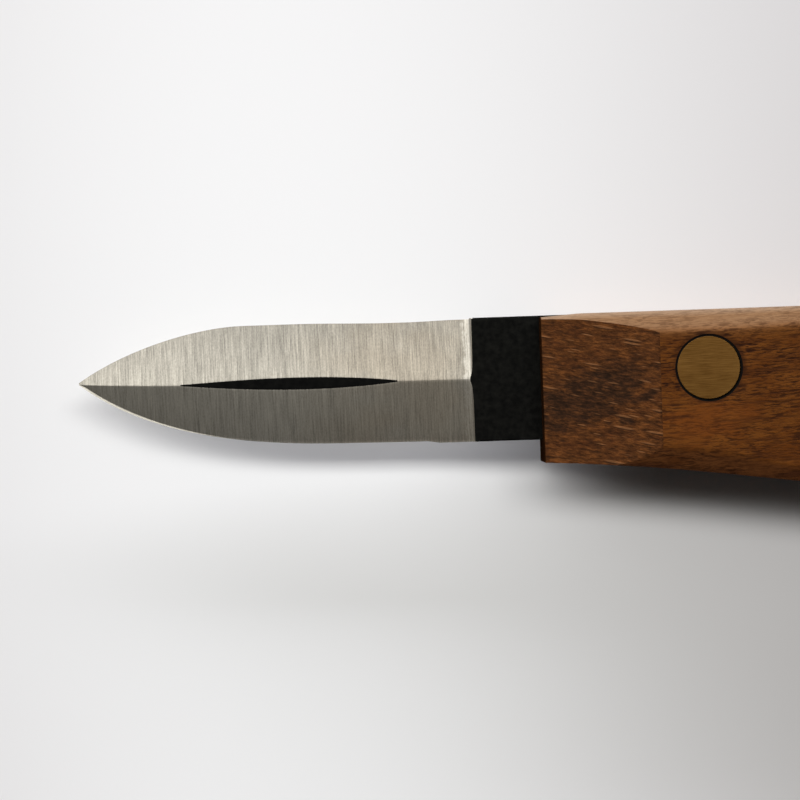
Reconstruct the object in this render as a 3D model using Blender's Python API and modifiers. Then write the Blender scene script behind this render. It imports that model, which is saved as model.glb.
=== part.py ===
"""Wood carving knife: a bar-steel spear blade pinned between two wooden handle scales.

The knife lies on its right side with its tip towards -X and its back towards +Y.
Every piece is modelled in the bar's own frame, whose X axis is the bar's centre line and whose
origin is in the handle's front face. One empty then stands the knife on the ground plane.
"""

import math

import bmesh
import bpy
import numpy as np
from mathutils.geometry import interpolate_bezier

MM = 0.001

# Flat steel bar that the blade is ground from
BAR_WIDTH = 19.05 * MM
BAR_THICKNESS = 3.2 * MM

# Blade, measured forward from the handle
BLADE_LENGTH = 71.5 * MM
RICASSO_LENGTH = 10.75 * MM
TIP_RISE = 1.5 * MM
TIP_WIDTH = 0.3 * MM
EDGE_THICKNESS = 0.1 * MM
UPPER_EDGE_WEAR = 0.05 * MM
LOWER_EDGE_WEAR = 0.5 * MM
WEAR_RUN_OUT = 2.0 * MM
WEAR_SETBACK = 5.3 * MM
UPPER_EDGE_HOLLOW = 0.3 * MM
HOLLOW_START = 42.0 * MM
HOLLOW_FULL = 21.0 * MM

# Curves of the two cutting edges: how far they run back from the tip, the angle at which they
# leave it, and how long they hold their direction at the straight end and at the tip
UPPER_CURVE_LENGTH = 28.0 * MM
UPPER_TIP_ANGLE = math.radians(29.5)
UPPER_STRAIGHT_HOLD = 10.0 * MM
UPPER_TIP_HOLD = 13.5 * MM
LOWER_CURVE_LENGTH = 37.5 * MM
LOWER_TIP_ANGLE = math.radians(33.0)
LOWER_STRAIGHT_HOLD = 13.0 * MM
LOWER_TIP_HOLD = 14.0 * MM

# Strip of bare bar left between the two bevels, and the concave run-out at the shoulder
LAND_SETBACK = 16.0 * MM
LAND_LENGTH = 34.5 * MM
LAND_WIDTH = 1.8 * MM
LAND_TAPER = 1.25
RIDGE_WIDTH = 0.12 * MM
RIDGE_SWEEP = 2.4
PLUNGE_LENGTH = 0.9 * MM

# Handle
HANDLE_LENGTH = 115.0 * MM
HANDLE_THICKNESS = 18.0 * MM
RAMP_LENGTH = 17.3 * MM
RAMP_DEPTH = 3.1 * MM
BACK_DIP = 0.38 * MM
BACK_DIP_RUN = 5.5 * MM

# Wood below the bar at the front, in the belly and at the butt, and the belly curve's course
FRONT_COVER = 3.5 * MM
FRONT_FALL = math.radians(2.5)
FRONT_HOLD = 26.0 * MM
BELLY_COVER = 9.4 * MM
BELLY_SETBACK = 64.0 * MM
BELLY_HOLD = 22.0 * MM
BUTT_COVER = 6.4 * MM

# Rounding of the butt: how far it runs forward and how deep it is, along the back, belly and sides
BUTT_BACK_RUN = 22.0 * MM
BUTT_BACK_DROP = 9.5 * MM
BUTT_BELLY_RUN = 16.0 * MM
BUTT_BELLY_RISE = 8.5 * MM
BUTT_SIDE_RUN = 10.0 * MM
BUTT_SIDE_DEPTH = 4.0 * MM

# Softened chamfers along the handle: wide behind the ramp, narrower in the palm
BACK_CHAMFER_FRONT = 3.5 * MM
BACK_CHAMFER_PALM = 3.0 * MM
BELLY_CHAMFER_FRONT = 3.6 * MM
BELLY_CHAMFER_PALM = 2.1 * MM
CHAMFER_EASE_START = 24.0 * MM
CHAMFER_EASE_END = 42.0 * MM
BACK_CHAMFER_SLOPE = 1.15
BELLY_CHAMFER_SLOPE = 0.36
CHAMFER_SOFTNESS = 1.35
MOST_CHAMFER_SHARE = 0.45

# Tang, pins and the glue between the pieces; the tang ends before the back starts to round
TANG_COVER = 3.0 * MM
PIN_DIAMETER = 9.5 * MM
PIN_RISE = 0.6 * MM
PIN_BREAK = 0.15 * MM
FRONT_PIN_SETBACK = 24.5 * MM
REAR_PIN_COVER = 18.0 * MM
GLUE_GAP = 0.3 * MM

# Fineness of the lofts and of the round pieces
EDGE_CURVE_STEPS = 22
BLADE_STEPS = 9
PLUNGE_STEPS = 6
HANDLE_STEPS = 24
BUTT_STEPS = 13
CHAMFER_STEPS = 6
ROUND_SIDES = 64
BEZIER_STEPS = 96

# How far a cutter reaches past what it cuts
CUTTER_OVERRUN = 5.0 * MM

HALF_WIDTH = BAR_WIDTH / 2
HALF_BAR = BAR_THICKNESS / 2
HALF_HANDLE = HANDLE_THICKNESS / 2
TIP_X = -BLADE_LENGTH
SHOULDER_X = -RICASSO_LENGTH
WEAR_END_X = SHOULDER_X - WEAR_SETBACK
TANG_END_X = HANDLE_LENGTH - BUTT_BACK_RUN - TANG_COVER
FRONT_PIN_X = FRONT_PIN_SETBACK
REAR_PIN_X = TANG_END_X - REAR_PIN_COVER


def clear_scene():
    for obj in list(bpy.data.objects):
        bpy.data.objects.remove(obj, do_unlink=True)


def new_collection(name):
    collection = bpy.data.collections.new(name)
    bpy.context.scene.collection.children.link(collection)
    return collection


def finish(name, colour, roughness, metallic=0.0):
    material = bpy.data.materials.new(name)
    material.use_nodes = True
    shader = material.node_tree.nodes["Principled BSDF"]
    shader.inputs["Base Color"].default_value = (*colour, 1.0)
    shader.inputs["Roughness"].default_value = roughness
    shader.inputs["Metallic"].default_value = metallic
    return material


def ease(values, start, end):
    """0 before start, 1 after end, and a smooth step between them."""
    share = np.clip((values - start) / (end - start), 0.0, 1.0)
    return share * share * (3.0 - 2.0 * share)


def quarter_round(values, start, length):
    """0 before start, then the rise of a quarter circle that ends at 1."""
    share = np.clip((values - start) / length, 0.0, 1.0)
    return 1.0 - np.sqrt(1.0 - share * share)


def curve_height(x, spans):
    """Height at x of a curve through one or more Bezier spans, each given as four points."""
    points = []
    for span in spans:
        corners = [(*corner, 0.0) for corner in span]
        points += interpolate_bezier(*corners, BEZIER_STEPS)
    path = np.array([point[:2] for point in points])
    return np.interp(x, path[:, 0], path[:, 1])


def build_object(name, mesh, collection, parent, materials=()):
    obj = bpy.data.objects.new(name, mesh)
    obj.parent = parent
    collection.objects.link(obj)
    for material in materials:
        mesh.materials.append(material)
    return obj


def mesh_from(name, bm):
    bmesh.ops.recalc_face_normals(bm, faces=bm.faces)
    mesh = bpy.data.meshes.new(name)
    bm.to_mesh(mesh)
    bm.free()
    return mesh


def loft_mesh(name, rings):
    """Closed skin through rings of equally many points, capped at both ends."""
    bm = bmesh.new()
    loops = [[bm.verts.new(point) for point in ring] for ring in rings]
    for near, far in zip(loops, loops[1:]):
        for i, corner in enumerate(near):
            bm.faces.new((near[i - 1], corner, far[i], far[i - 1]))
    bm.faces.new(loops[0])
    bm.faces.new(loops[-1])
    bmesh.ops.remove_doubles(bm, verts=bm.verts, dist=1e-3 * MM)
    return mesh_from(name, bm)


def box_mesh(name, low, high):
    bm = bmesh.new()
    corners = bmesh.ops.create_cube(bm, size=1.0)["verts"]
    bmesh.ops.scale(bm, verts=corners, vec=np.subtract(high, low))
    bmesh.ops.translate(bm, verts=corners, vec=np.add(high, low) / 2)
    return mesh_from(name, bm)


def cylinder_mesh(name, diameter, length):
    bm = bmesh.new()
    bmesh.ops.create_cone(
        bm,
        cap_ends=True,
        segments=ROUND_SIDES,
        radius1=diameter / 2,
        radius2=diameter / 2,
        depth=length,
    )
    return mesh_from(name, bm)


def build_cutter(name, mesh, collection, parent):
    cutter = build_object(name, mesh, collection, parent)
    cutter.hide_render = True
    cutter.display_type = "WIRE"
    return cutter


def cut(obj, cutter):
    modifier = obj.modifiers.new(cutter.name, "BOOLEAN")
    modifier.operation = "DIFFERENCE"
    modifier.solver = "EXACT"
    modifier.object = cutter


def edge_height(x, side, curve_length, tip_angle, tip_hold, straight_hold, wear, hollow):
    """Height along the blade of its upper (side 1) or lower (side -1) cutting edge."""
    tip = (TIP_X, TIP_RISE + side * TIP_WIDTH / 2)
    end = (TIP_X + curve_length, side * (HALF_WIDTH - wear))
    span = (
        tip,
        (tip[0] + tip_hold * math.cos(tip_angle), tip[1] + side * tip_hold * math.sin(tip_angle)),
        (end[0] - straight_hold, end[1]),
        end,
    )
    bare = np.clip((x - WEAR_END_X) / WEAR_RUN_OUT + 1.0, 0.0, 1.0)
    hollowed = hollow * ease(x, -HOLLOW_START, -HOLLOW_FULL) * (1.0 - bare)
    return curve_height(x, [span]) + side * (wear * bare - hollowed)


def edge_heights(x):
    upper = edge_height(
        x,
        1,
        UPPER_CURVE_LENGTH,
        UPPER_TIP_ANGLE,
        UPPER_TIP_HOLD,
        UPPER_STRAIGHT_HOLD,
        UPPER_EDGE_WEAR,
        UPPER_EDGE_HOLLOW,
    )
    lower = edge_height(
        x,
        -1,
        LOWER_CURVE_LENGTH,
        LOWER_TIP_ANGLE,
        LOWER_TIP_HOLD,
        LOWER_STRAIGHT_HOLD,
        LOWER_EDGE_WEAR,
        0.0,
    )
    return upper, lower


def blade_stations():
    """Places of the blade's sections: close together at the tip and in the plunge."""
    plunge_start = SHOULDER_X - PLUNGE_LENGTH
    turn = np.linspace(0.0, math.pi / 2, EDGE_CURVE_STEPS)
    curved = TIP_X + LOWER_CURVE_LENGTH * (1.0 - np.cos(turn))
    straight = np.linspace(curved[-1], plunge_start, BLADE_STEPS)
    plunge = plunge_start + PLUNGE_LENGTH * np.sin(np.linspace(0.0, math.pi / 2, PLUNGE_STEPS))
    wear = (WEAR_END_X - WEAR_RUN_OUT, WEAR_END_X)
    ground = np.concatenate((curved, straight, wear))
    return np.concatenate((np.unique(ground[ground < plunge_start]), plunge, [TANG_END_X]))


def blade_rings():
    """Eight-cornered sections: two thin edges and, on each face, the land between its bevels."""
    x = blade_stations()
    upper, lower = edge_heights(x)
    half_edge = EDGE_THICKNESS / 2
    depth = HALF_BAR - half_edge

    ground = np.clip((SHOULDER_X - x) / (SHOULDER_X - TIP_X), 0.0, 1.0)
    ridge = TIP_RISE * ground**RIDGE_SWEEP
    along = np.clip((x - TIP_X - LAND_SETBACK) / LAND_LENGTH, 0.0, 1.0)
    lens = (4.0 * along * (1.0 - along)) ** LAND_TAPER
    half_land = np.maximum(LAND_WIDTH / 2 * lens, RIDGE_WIDTH / 2)

    # The bevels keep their angle to the tip, so the ridge sinks as the blade narrows
    land_upper, land_lower = edge_heights(np.array([TIP_X + LAND_SETBACK]))
    reach = np.minimum((upper - lower) / (land_upper - land_lower), 1.0)
    rise = quarter_round(x, SHOULDER_X - PLUNGE_LENGTH, PLUNGE_LENGTH)
    edge_z = half_edge + depth * rise
    ridge_z = half_edge + depth * reach

    land_top = upper - (upper - ridge - half_land) * (1.0 - rise)
    land_bottom = lower + (ridge - half_land - lower) * (1.0 - rise)
    heights = (upper, land_top, land_bottom, lower)
    depths = (edge_z, ridge_z, ridge_z, edge_z)
    front = [np.stack((x, y, z), axis=-1) for y, z in zip(heights, depths)]
    back = [np.stack((x, y, -z), axis=-1) for y, z in zip(heights[::-1], depths)]
    return np.stack(front + back, axis=1)


def build_blade(collection, root, bores):
    ground = finish("ground_steel", (0.52, 0.50, 0.46), 0.35, 1.0)
    black = finish("black_scale", (0.010, 0.010, 0.009), 0.55)
    mesh = loft_mesh("blade", blade_rings())
    for face in mesh.polygons:
        on_bar_face = abs(abs(face.center.z) - HALF_BAR) < 1e-3 * MM
        face.material_index = int(on_bar_face or face.center.x > SHOULDER_X)
    blade = build_object("blade", mesh, collection, root, (ground, black))
    for bore in bores:
        cut(blade, bore)


def butt_round(x, run):
    return quarter_round(x, HANDLE_LENGTH - run, run)


def handle_heights(x):
    """Heights of the handle's back, flush with the bar but for a dip at the front, and of its belly."""
    front = (0.0, -HALF_WIDTH - FRONT_COVER)
    belly = (BELLY_SETBACK, -HALF_WIDTH - BELLY_COVER)
    butt = (HANDLE_LENGTH, -HALF_WIDTH - BUTT_COVER)
    butt_hold = (butt[0] - belly[0]) / 3
    front_span = (
        front,
        (front[0] + FRONT_HOLD, front[1] - FRONT_HOLD * math.tan(FRONT_FALL)),
        (belly[0] - BELLY_HOLD, belly[1]),
        belly,
    )
    rear_span = (
        belly,
        (belly[0] + butt_hold, belly[1]),
        (butt[0] - butt_hold, butt[1]),
        butt,
    )
    dip = BACK_DIP * np.clip(1.0 - x / BACK_DIP_RUN, 0.0, 1.0)
    upper = HALF_WIDTH - dip - BUTT_BACK_DROP * butt_round(x, BUTT_BACK_RUN)
    lower = curve_height(x, [front_span, rear_span])
    return upper, lower + BUTT_BELLY_RISE * butt_round(x, BUTT_BELLY_RUN)


def scale_rings(side):
    """Half sections of the handle, from the glue line round its chamfered outside."""
    butt_start = HANDLE_LENGTH - BUTT_BACK_RUN
    butt_turn = np.sin(np.linspace(0.0, math.pi / 2, BUTT_STEPS))
    straight = np.sort(np.append(np.linspace(0.0, butt_start, HANDLE_STEPS), BACK_DIP_RUN))
    x = np.concatenate((straight, butt_start + BUTT_BACK_RUN * butt_turn[1:]))
    back, belly = handle_heights(x)
    outer = HALF_HANDLE - BUTT_SIDE_DEPTH * butt_round(x, BUTT_SIDE_RUN)
    palm = ease(x, CHAMFER_EASE_START, CHAMFER_EASE_END)
    most = MOST_CHAMFER_SHARE * np.minimum(back - belly, outer)
    back_chamfer = BACK_CHAMFER_FRONT + (BACK_CHAMFER_PALM - BACK_CHAMFER_FRONT) * palm
    belly_chamfer = BELLY_CHAMFER_FRONT + (BELLY_CHAMFER_PALM - BELLY_CHAMFER_FRONT) * palm
    back_chamfer = np.minimum(back_chamfer, most)
    belly_chamfer = np.minimum(belly_chamfer, most)

    # A corner runs from the handle's edge face, turn 0, to its flat side, turn 90 degrees
    turn = np.linspace(0.0, math.pi / 2, CHAMFER_STEPS + 1)
    inward = 1.0 - np.cos(turn) ** (2.0 / CHAMFER_SOFTNESS)
    outward = np.sin(turn) ** (2.0 / CHAMFER_SOFTNESS)
    points = [(belly, np.full_like(x, GLUE_GAP / 2))]
    for k in range(CHAMFER_STEPS + 1):
        depth = BELLY_CHAMFER_SLOPE * belly_chamfer * (1.0 - outward[k])
        points.append((belly + belly_chamfer * inward[k], outer - depth))
    for k in reversed(range(CHAMFER_STEPS + 1)):
        depth = BACK_CHAMFER_SLOPE * back_chamfer * (1.0 - outward[k])
        points.append((back - back_chamfer * inward[k], outer - depth))
    points.append((back, np.full_like(x, GLUE_GAP / 2)))
    return np.stack([np.stack((x, y, side * z), axis=-1) for y, z in points], axis=1)


def ramp_cutter(name, side, collection, root):
    """Box whose inner face is the sloped facet at the front of one scale."""
    slope = math.atan2(RAMP_DEPTH, RAMP_LENGTH)
    reach = RAMP_LENGTH + HANDLE_THICKNESS
    height = BAR_WIDTH + FRONT_COVER + BELLY_COVER
    low = (-reach, -height, 0.0)
    high = (0.0, height, HANDLE_THICKNESS)
    if side < 0:
        low, high = (-reach, -height, -HANDLE_THICKNESS), (0.0, height, 0.0)
    cutter = build_cutter(name, box_mesh(name, low, high), collection, root)
    cutter.location = (RAMP_LENGTH, 0.0, side * HALF_HANDLE)
    cutter.rotation_euler.y = -side * slope
    return cutter


def build_scale(name, side, collection, root, cutters):
    wood = finish(name + "_wood", (0.085, 0.031, 0.010), 0.5)
    mesh = loft_mesh(name, scale_rings(side))
    mesh.shade_smooth()
    mesh.set_sharp_from_angle(angle=math.radians(20.0))
    scale = build_object(name, mesh, collection, root, (wood,))
    for cutter in cutters:
        cut(scale, cutter)


def build_pin(name, x, collection, root):
    brass = finish(name + "_brass", (0.45, 0.27, 0.09), 0.3, 1.0)
    mesh = cylinder_mesh(name, PIN_DIAMETER, HANDLE_THICKNESS)
    mesh.shade_smooth()
    mesh.set_sharp_from_angle(angle=math.radians(30.0))
    pin = build_object(name, mesh, collection, root, (brass,))
    pin.location = (x, PIN_RISE, 0.0)
    broken_edge = pin.modifiers.new("broken edge", "BEVEL")
    broken_edge.width = PIN_BREAK
    broken_edge.segments = 1
    broken_edge.limit_method = "ANGLE"
    broken_edge.angle_limit = math.radians(60.0)


def build_bore(name, x, collection, root):
    length = HANDLE_THICKNESS + 2 * CUTTER_OVERRUN
    mesh = cylinder_mesh(name, PIN_DIAMETER + 2 * GLUE_GAP, length)
    bore = build_cutter(name, mesh, collection, root)
    bore.location = (x, PIN_RISE, 0.0)
    return bore


def build_tang_recess(collection, root):
    """Room for the tang, open at the handle's front face and along its back."""
    half_depth = HALF_BAR + GLUE_GAP
    low = (-CUTTER_OVERRUN, -HALF_WIDTH - GLUE_GAP, -half_depth)
    high = (TANG_END_X + GLUE_GAP, HALF_WIDTH + CUTTER_OVERRUN, half_depth)
    return build_cutter("tang_recess", box_mesh("tang_recess", low, high), collection, root)


def main():
    clear_scene()
    parts = new_collection("Wood carving knife")
    cutters = new_collection("Knife cutters")
    root = bpy.data.objects.new("carving_knife", None)
    root.location = (-(FRONT_PIN_X + REAR_PIN_X) / 2, 0.0, HALF_HANDLE)
    parts.objects.link(root)

    bores = [
        build_bore("front_bore", FRONT_PIN_X, cutters, root),
        build_bore("rear_bore", REAR_PIN_X, cutters, root),
    ]
    recess = build_tang_recess(cutters, root)
    build_blade(parts, root, bores)
    for name, side in (("left", 1), ("right", -1)):
        ramp = ramp_cutter(name + "_ramp", side, cutters, root)
        build_scale(name + "_scale", side, parts, root, [recess, *bores, ramp])
    build_pin("front_pin", FRONT_PIN_X, parts, root)
    build_pin("rear_pin", REAR_PIN_X, parts, root)


main()
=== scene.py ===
import math

import bpy
import numpy as np
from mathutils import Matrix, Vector


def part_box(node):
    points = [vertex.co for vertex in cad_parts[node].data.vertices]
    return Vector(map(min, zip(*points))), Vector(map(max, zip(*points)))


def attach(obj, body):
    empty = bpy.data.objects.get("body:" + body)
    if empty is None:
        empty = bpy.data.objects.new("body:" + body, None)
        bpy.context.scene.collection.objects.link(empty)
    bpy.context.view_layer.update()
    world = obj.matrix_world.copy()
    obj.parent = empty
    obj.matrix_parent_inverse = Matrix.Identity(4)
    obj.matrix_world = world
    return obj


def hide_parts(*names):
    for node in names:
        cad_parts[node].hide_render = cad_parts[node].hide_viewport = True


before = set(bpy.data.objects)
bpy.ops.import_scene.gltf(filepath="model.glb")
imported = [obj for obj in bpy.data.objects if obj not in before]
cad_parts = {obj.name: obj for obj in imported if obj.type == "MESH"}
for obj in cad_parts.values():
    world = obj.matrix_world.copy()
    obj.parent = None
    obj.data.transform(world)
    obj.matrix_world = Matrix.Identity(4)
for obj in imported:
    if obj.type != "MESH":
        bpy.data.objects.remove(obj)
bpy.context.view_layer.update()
mm = 0.001
noiseRange = (0.3, 0.7)  # where nearly all values of a noise lie

# Pieces are worked out in millimetres in the bar's own frame: x from the handle's front, y from the
# bar's centre line, z from the mid-plane. barOrigin is that frame's origin, read from the CAD boxes.
bladeLow, bladeHigh = (np.array(corner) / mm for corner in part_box("blade"))
scaleLow, scaleHigh = (np.array(corner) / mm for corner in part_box("left_scale"))
bladeMiddle = (bladeLow + bladeHigh) / 2
barOrigin = np.array((scaleLow[0], bladeMiddle[1], bladeMiddle[2]))
print("frame loaded:", ", ".join(sorted(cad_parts)))


def toWorld(axis, *stations):
    # world coordinates in metres of stations along one axis of the bar's frame
    return [(barOrigin[axis] + station) * mm for station in stations]


def boxCentre(node):
    low, high = (np.array(corner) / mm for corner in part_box(node))
    return (low + high) / 2 - barOrigin


# Pin holes, a hair off the pins' own centres

boreForm = {"radius": 5.10, "sides": 96, "shift": (0.06, -0.03)}
pinCentres = [boxCentre(node)[:2] for node in ("front_pin", "rear_pin")]
boreCentres = [centre + boreForm["shift"] for centre in pinCentres]


# Meshes

def ease(values, start, end):
    # 0 before start, 1 past end and a smooth step between
    share = np.clip((values - start) / (end - start), 0.0, 1.0)
    return share * share * (3.0 - 2.0 * share)


def roundRise(values, start, length, power=2.0):
    # 0 before start, then the rise of a quarter superellipse that ends at 1
    share = np.clip((values - start) / length, 0.0, 1.0)
    return 1.0 - (1.0 - share**power) ** (1.0 / power)


def quarterTurn(count):
    return np.linspace(0.0, math.pi / 2, count)


def bezierHeight(x, spans, samples=129):
    # height at x of a line made of cubic Bezier spans
    share = np.linspace(0.0, 1.0, samples)[:, None]
    left = 1.0 - share
    weights = np.hstack((left**3, 3.0 * share * left**2, 3.0 * share**2 * left, share**3))
    path = np.vstack([weights @ np.array(span) for span in spans])
    return np.interp(x, path[:, 0], path[:, 1])


def arrayMesh(name, points, faces):
    mesh = bpy.data.meshes.new(name)
    mesh.from_pydata(((points + barOrigin) * mm).tolist(), [], faces)
    mesh.calc_loop_triangles()
    corners = np.empty(len(mesh.loop_triangles) * 3, np.int32)
    mesh.loop_triangles.foreach_get("vertices", corners)
    a, b, c = points[corners].reshape(-1, 3, 3).transpose(1, 0, 2)
    if np.einsum("ij,ij->", a, np.cross(b, c)) < 0.0:  # signed volume: faces must point outwards
        mesh.flip_normals()
    return mesh


def skinMesh(name, rings):
    # rings[i, j] is point j of section i; quads join the sections and a cap closes each end
    index = np.arange(rings.shape[0] * rings.shape[1]).reshape(rings.shape[:2])
    following = np.roll(index, -1, axis=1)
    quads = np.stack((index[:-1], following[:-1], following[1:], index[1:]), axis=-1).reshape(-1, 4)
    caps = [index[0, ::-1].tolist(), index[-1].tolist()]
    return arrayMesh(name, rings.reshape(-1, 3), quads.tolist() + caps)


def latheMesh(name, centre, profile, sides, closed=False):
    # point(a, j) = centre + (r_j cos a, r_j sin a, z_j); a cap closes each end of an open profile
    radius, height = np.array(profile).T
    angle = np.linspace(0.0, 2.0 * math.pi, sides, endpoint=False)[:, None]
    rings = np.stack((radius * np.cos(angle), radius * np.sin(angle), height + 0.0 * angle), axis=-1)
    index = np.arange(sides * len(radius)).reshape(sides, -1)
    turned = np.roll(index, -1, axis=0)
    if closed:
        ahead, turnedAhead = np.roll(index, -1, axis=1), np.roll(turned, -1, axis=1)
        faces = np.stack((index, ahead, turnedAhead, turned), axis=-1).reshape(-1, 4).tolist()
    else:
        faces = np.stack((index[:, :-1], index[:, 1:], turned[:, 1:], turned[:, :-1]), axis=-1)
        faces = faces.reshape(-1, 4).tolist() + [index[:, 0].tolist(), index[::-1, -1].tolist()]
    return arrayMesh(name, rings.reshape(-1, 3) + np.array((centre[0], centre[1], 0.0)), faces)


def inBarFrame(parts, label):
    flat = np.empty(len(parts) * 3)
    parts.foreach_get(label, flat)
    return flat.reshape(-1, 3) / mm - barOrigin


def paintPoints(mesh, name, values):
    mesh.attributes.new(name, "FLOAT", "POINT").data.foreach_set("value", values.astype(np.float32))


def addObject(name, data):
    made = bpy.data.objects.new(name, data)
    bpy.context.scene.collection.objects.link(made)
    return made


def cutBores(piece, reach):
    cutters = []
    profile = ((boreForm["radius"], -reach), (boreForm["radius"], reach))
    for centre in boreCentres:
        cutter = addObject("boreCutter", latheMesh("boreCutter", centre, profile, boreForm["sides"]))
        modifier = piece.modifiers.new("bore", "BOOLEAN")
        modifier.object = cutter
        modifier.operation = "DIFFERENCE"
        modifier.solver = "EXACT"
        cutters.append(cutter)
    evaluated = piece.evaluated_get(bpy.context.evaluated_depsgraph_get())
    whole, piece.data = piece.data, bpy.data.meshes.new_from_object(evaluated)
    piece.modifiers.clear()
    bpy.data.meshes.remove(whole)
    for cutter in cutters:
        bpy.data.meshes.remove(cutter.data)  # takes the cutter with it


def finishPiece(piece, node, materials, sharpAngle):
    piece.data.materials.clear()
    for material in materials:
        piece.data.materials.append(material)
    piece.data.shade_smooth()
    piece.data.set_sharp_from_angle(angle=math.radians(sharpAngle))
    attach(piece, "root")
    if node:
        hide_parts(node)


# Node trees

def addNode(tree, kind, values=None, **settings):
    made = tree.nodes.new(kind)
    for key, value in settings.items():
        setattr(made, key, value)
    for key, value in (values or {}).items():
        if isinstance(value, bpy.types.NodeSocket):
            tree.links.new(value, made.inputs[key])
        else:
            made.inputs[key].default_value = value
    return made


def calc(tree, operation, first, second):
    return addNode(tree, "ShaderNodeMath", {0: first, 1: second}, operation=operation).outputs[0]


def product(tree, first, *others):
    for other in others:
        first = calc(tree, "MULTIPLY", first, other)
    return first


def weighted(tree, values, weights):
    # the sum of each value times its weight
    first, *others = (calc(tree, "MULTIPLY", value, weight) for value, weight in zip(values, weights))
    for other in others:
        first = calc(tree, "ADD", first, other)
    return first


def remap(tree, value, low, high, toLow=0.0, toHigh=1.0, smooth=False):
    values = {"Value": value, "From Min": low, "From Max": high, "To Min": toLow, "To Max": toHigh}
    kind = "SMOOTHSTEP" if smooth else "LINEAR"
    return addNode(tree, "ShaderNodeMapRange", values, interpolation_type=kind).outputs["Result"]


def gainBy(tree, mask, gain):
    # 1 where the mask is 0, and gain where it is 1
    return remap(tree, mask, 0.0, 1.0, 1.0, gain)


def mixValue(tree, share, first, second):
    return addNode(tree, "ShaderNodeMix", {0: share, 2: first, 3: second}).outputs[0]


def mixColour(tree, share, first, second, mode="MIX"):
    first, second = (c if isinstance(c, bpy.types.NodeSocket) else (*c, 1.0) for c in (first, second))
    made = addNode(tree, "ShaderNodeMix", {0: share, 6: first, 7: second}, data_type="RGBA", blend_type=mode)
    return made.outputs[2]


def scaled(tree, colour, factor):
    return addNode(tree, "ShaderNodeVectorMath", {0: colour, "Scale": factor}, operation="SCALE").outputs[0]


def attribute(tree, name):
    return addNode(tree, "ShaderNodeAttribute", attribute_name=name).outputs["Fac"]


def separate(tree, point):
    return addNode(tree, "ShaderNodeSeparateXYZ", {"Vector": point}).outputs


def featureSpace(tree, point, size, turn=0.0, start=(0.0, 0.0, 0.0)):
    # coordinates in which one feature of that size in mm, turned about z, is one unit across
    values = {
        "Vector": point,
        "Location": [place * mm for place in start],
        "Rotation": (0.0, 0.0, math.radians(turn)),
        "Scale": [length * mm for length in size],
    }
    return addNode(tree, "ShaderNodeMapping", values, vector_type="TEXTURE").outputs[0]


def noise(tree, point, detail=2.0, roughness=0.5, distortion=0.0):
    values = {
        "Vector": point, "Scale": 1.0, "Detail": detail, "Roughness": roughness, "Distortion": distortion,
    }
    return addNode(tree, "ShaderNodeTexNoise", values).outputs["Fac"]


def pattern(tree, point, size, turn=0.0, **kind):
    return noise(tree, featureSpace(tree, point, size, turn), **kind)


streakForm = {"detail": 3.0, "roughness": 0.6, "distortion": 0.25}


def streaks(tree, point, size, turn, levels):
    # ragged streaks: the part of a stretched noise above a level
    return remap(tree, pattern(tree, point, size, turn, **streakForm), *levels, smooth=True)


def remoteness(tree, point, size, turn, start):
    # distance from start, each axis counted in units of its size
    away = featureSpace(tree, point, size, turn, start)
    return addNode(tree, "ShaderNodeVectorMath", {0: away}, operation="LENGTH").outputs["Value"]


def spot(tree, point, place, size, rim, turn=0.0, ragged=0.0):
    # 1 inside an ellipsoid about place in the bar's frame, fading out across its rim, which ragged shifts
    away = remoteness(tree, point, size, turn, np.array(place) + barOrigin)
    return remap(tree, calc(tree, "ADD", away, ragged), *rim, smooth=True)


def startGroup(name, inputs, output):
    tree = bpy.data.node_groups.new(name, "ShaderNodeTree")
    for label, kind in inputs.items():
        tree.interface.new_socket(label, in_out="INPUT", socket_type=kind)
    tree.interface.new_socket(output, in_out="OUTPUT", socket_type="NodeSocketFloat")
    return tree, tree.nodes.new("NodeGroupInput").outputs, tree.nodes.new("NodeGroupOutput").inputs[output]


dashForm = {"reach": (0.16, 0.44), "rim": (1.0, 0.45)}  # in cells, and in shares of the reach
lineForm = {
    "fine": {"detail": 3.0, "roughness": 0.62}, "slow": (0.17, 0.6, 0.6),
    "weights": (0.82, 0.18), "levels": (0.345, 0.655),
}


def dashGroup():
    # one short dash in a share of the cells of a stretched Voronoi field
    inputs = {"Point": "NodeSocketVector", "Share": "NodeSocketFloat"}
    tree, given, result = startGroup("shortDashes", inputs, "Mask")
    cells = addNode(tree, "ShaderNodeTexVoronoi", {"Vector": given["Point"], "Scale": 1.0}).outputs
    chance = addNode(tree, "ShaderNodeSeparateColor", {"Color": cells["Color"]}).outputs
    reach = remap(tree, chance["Red"], 0.0, 1.0, *dashForm["reach"])
    dash = remap(tree, calc(tree, "DIVIDE", cells["Distance"], reach), *dashForm["rim"], smooth=True)
    present = calc(tree, "LESS_THAN", chance["Green"], given["Share"])
    tree.links.new(product(tree, dash, present), result)
    return tree


def lineGroup():
    # fine parallel lines with a slower change of strength across them
    tree, given, result = startGroup("fineLines", {"Point": "NodeSocketVector"}, "Lines")
    stretch = {0: given["Point"], 1: lineForm["slow"]}
    slow = addNode(tree, "ShaderNodeVectorMath", stretch, operation="MULTIPLY").outputs[0]
    fine = noise(tree, given["Point"], **lineForm["fine"])
    both = weighted(tree, (fine, noise(tree, slow)), lineForm["weights"])
    tree.links.new(remap(tree, both, *lineForm["levels"]), result)
    return tree


shortDashes, fineLines = dashGroup(), lineGroup()


def dashes(tree, point, share, size, turn, start=(0.0, 0.0, 0.0)):
    values = {"Point": featureSpace(tree, point, size, turn, start), "Share": share}
    return addNode(tree, "ShaderNodeGroup", values, node_tree=shortDashes).outputs["Mask"]


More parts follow.
